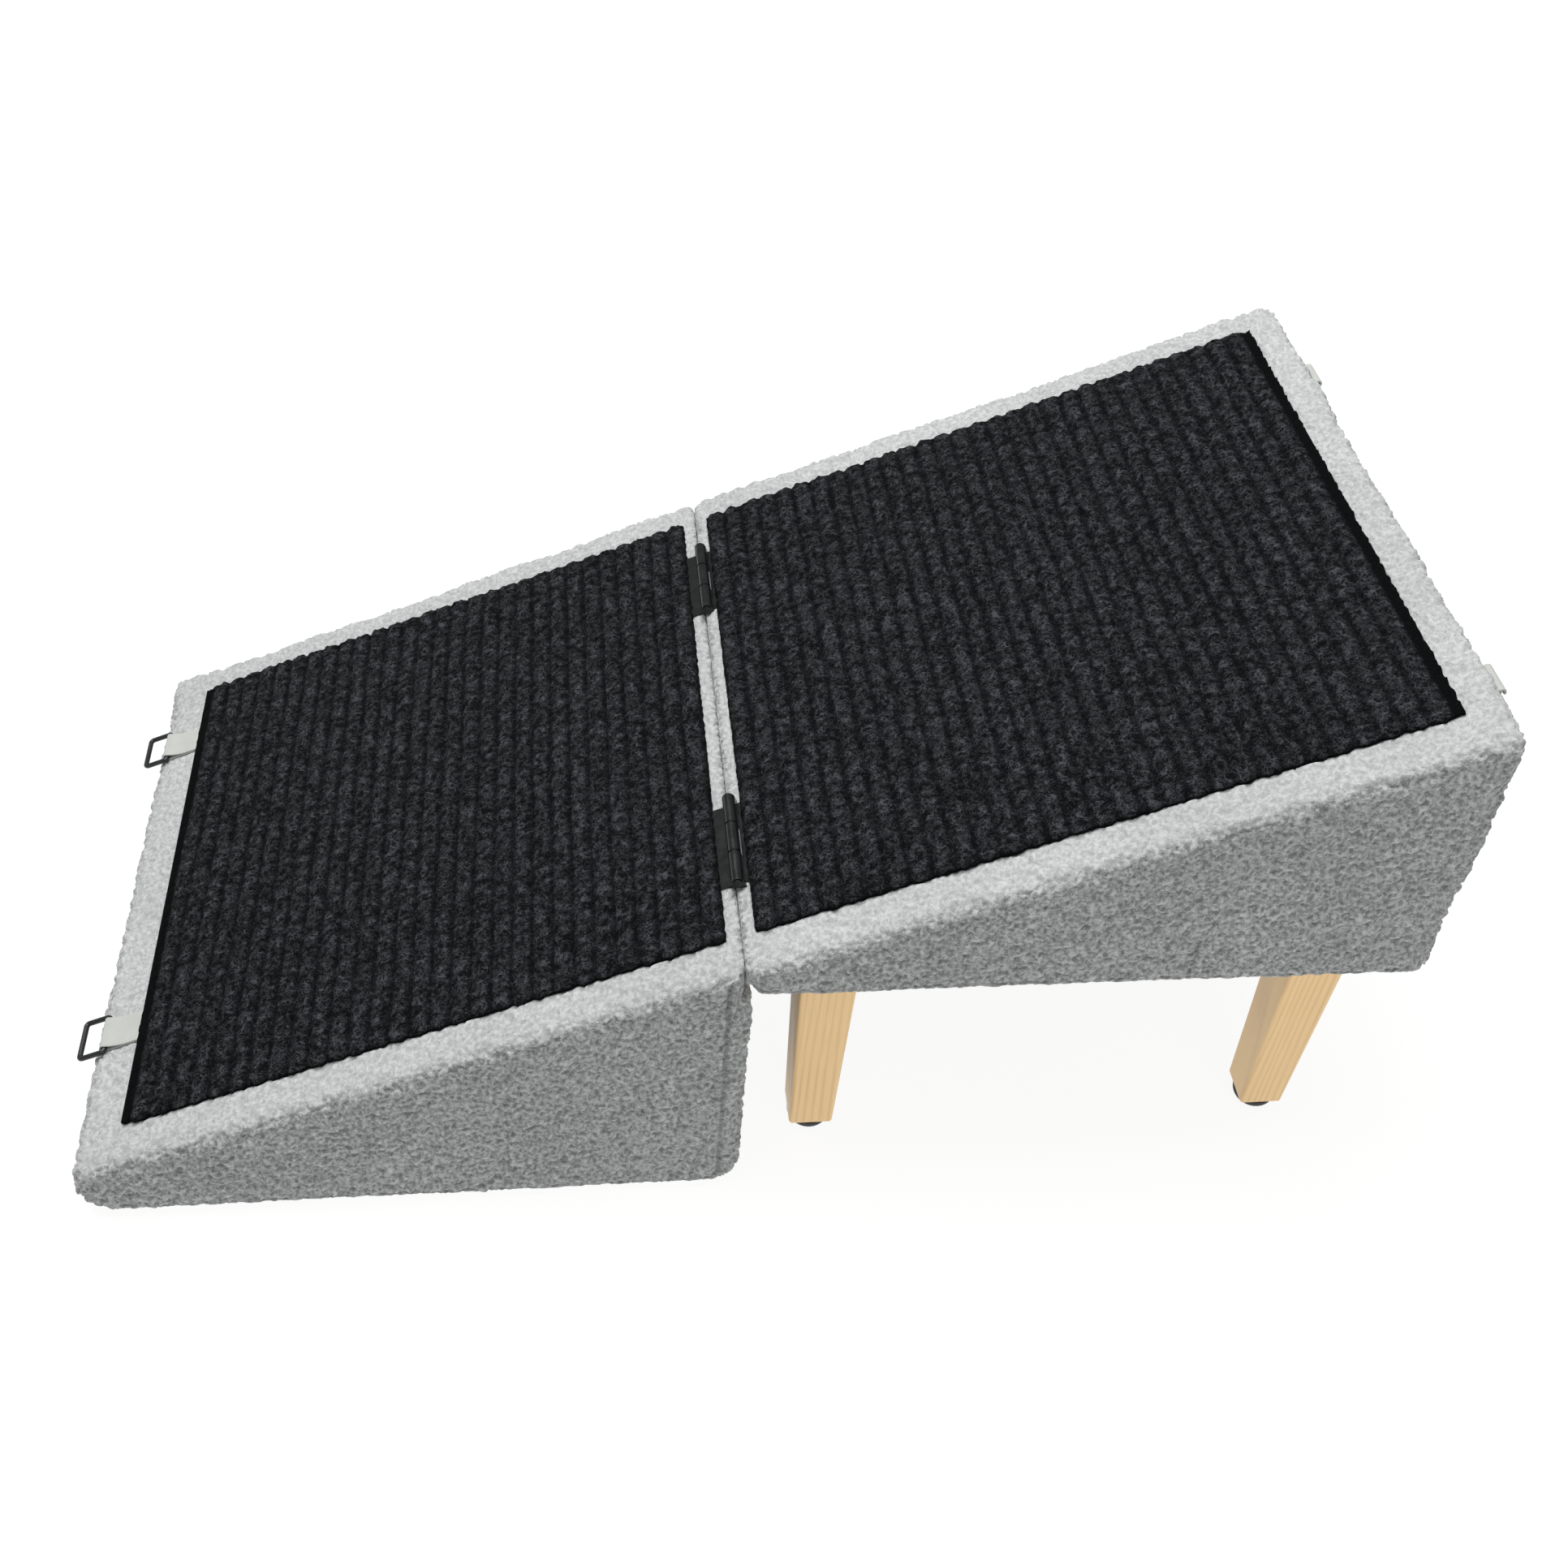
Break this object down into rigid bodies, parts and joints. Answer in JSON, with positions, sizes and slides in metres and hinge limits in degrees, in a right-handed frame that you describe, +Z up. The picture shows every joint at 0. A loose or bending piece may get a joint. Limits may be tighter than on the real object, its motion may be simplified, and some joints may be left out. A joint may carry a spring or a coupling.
{
  "type": "folding dog ramp",
  "caption": "Two-wedge folding ramp with fleece sides and ribbed carpet treads; the low wedge hinges over the legged one to make a stool.",
  "frame": {"origin": "on the floor under the middle of the whole object's box, ramp open", "axes": "+X up the ramp towards the high end, +Y to the left across it, +Z up"},
  "size_m": [0.7107, 0.4, 0.3205],
  "materials": {
    "fleece": "curly sherpa pile",
    "carpet": "ribbed cut pile",
    "foam": "open cell",
    "liner": "non-woven",
    "pine": "satin lacquer",
    "plywood": "bare",
    "rubber": "matte",
    "hinge_steel": "satin",
    "ring_steel": "satin",
    "webbing": "smooth woven",
    "zinc_steel": "zinc plated"
  },
  "bodies": {
    "upper_ramp": {"base_liner": "liner", "glide_front_left": "rubber", "glide_front_right": "rubber", "glide_nails": "zinc_steel", "glide_rear_left": "rubber", "glide_rear_right": "rubber", "hinge_pin_left": "hinge_steel", "hinge_pin_right": "hinge_steel", "leg_bolts": "zinc_steel", "leg_front_left": "pine", "leg_front_right": "pine", "leg_rear_left": "pine", "leg_rear_right": "pine", "leg_tnuts": "zinc_steel", "patch_staples": "zinc_steel", "strap_patch_left": "webbing", "strap_patch_right": "webbing", "upper_back_panel": "plywood", "upper_base_board": "plywood", "upper_box_screws": "zinc_steel", "upper_carpet": "carpet", "upper_cover": "fleece", "upper_hinge_rail": "plywood", "upper_hinge_screws": "zinc_steel", "upper_leaf_left": "hinge_steel", "upper_leaf_right": "hinge_steel", "upper_ramp_board": "plywood", "upper_rib": "plywood", "upper_side_left": "plywood", "upper_side_right": "plywood"},
    "lower_ramp": {"lower_back_panel": "plywood", "lower_base_board": "plywood", "lower_box_screws": "zinc_steel", "lower_carpet": "carpet", "lower_cover": "fleece", "lower_hinge_rail": "plywood", "lower_hinge_screws": "zinc_steel", "lower_leaf_left": "hinge_steel", "lower_leaf_right": "hinge_steel", "lower_ramp_board": "plywood", "lower_rib": "plywood", "lower_side_left": "plywood", "lower_side_right": "plywood", "seat_foam": "foam", "tab_staples": "zinc_steel", "toe_rail": "plywood", "toe_tab_left": "webbing", "toe_tab_right": "webbing"},
    "ring_left": {"ring_left": "ring_steel"},
    "ring_right": {"ring_right": "ring_steel"},
    "strap_left": {"strap_left": "webbing"},
    "strap_right": {"strap_right": "webbing"}
  },
  "joints": [
    {"name": "fold", "type": "hinge", "parent": "upper_ramp", "child": "lower_ramp", "pos_m": [-0.00012, 0, 0.18246], "axis": [0, 1, 0], "range_deg": [0, 180]},
    {"name": "ring_left_turn", "type": "hinge", "parent": "lower_ramp", "child": "ring_left", "pos_m": [-0.34056, 0.127, 0.03808], "axis": [0, 1, 0], "range_deg": [0, 60]},
    {"name": "ring_right_turn", "type": "hinge", "parent": "lower_ramp", "child": "ring_right", "pos_m": [-0.34056, -0.108, 0.03808], "axis": [0, 1, 0], "range_deg": [0, 60]},
    {"name": "strap_left_swing", "type": "hinge", "parent": "upper_ramp", "child": "strap_left", "pos_m": [0.35418, 0.127, 0.316], "axis": [0, -1, 0], "range_deg": [0, 160]},
    {"name": "strap_right_swing", "type": "hinge", "parent": "upper_ramp", "child": "strap_right", "pos_m": [0.35418, -0.148, 0.316], "axis": [0, -1, 0], "range_deg": [0, 160]}
  ]
}
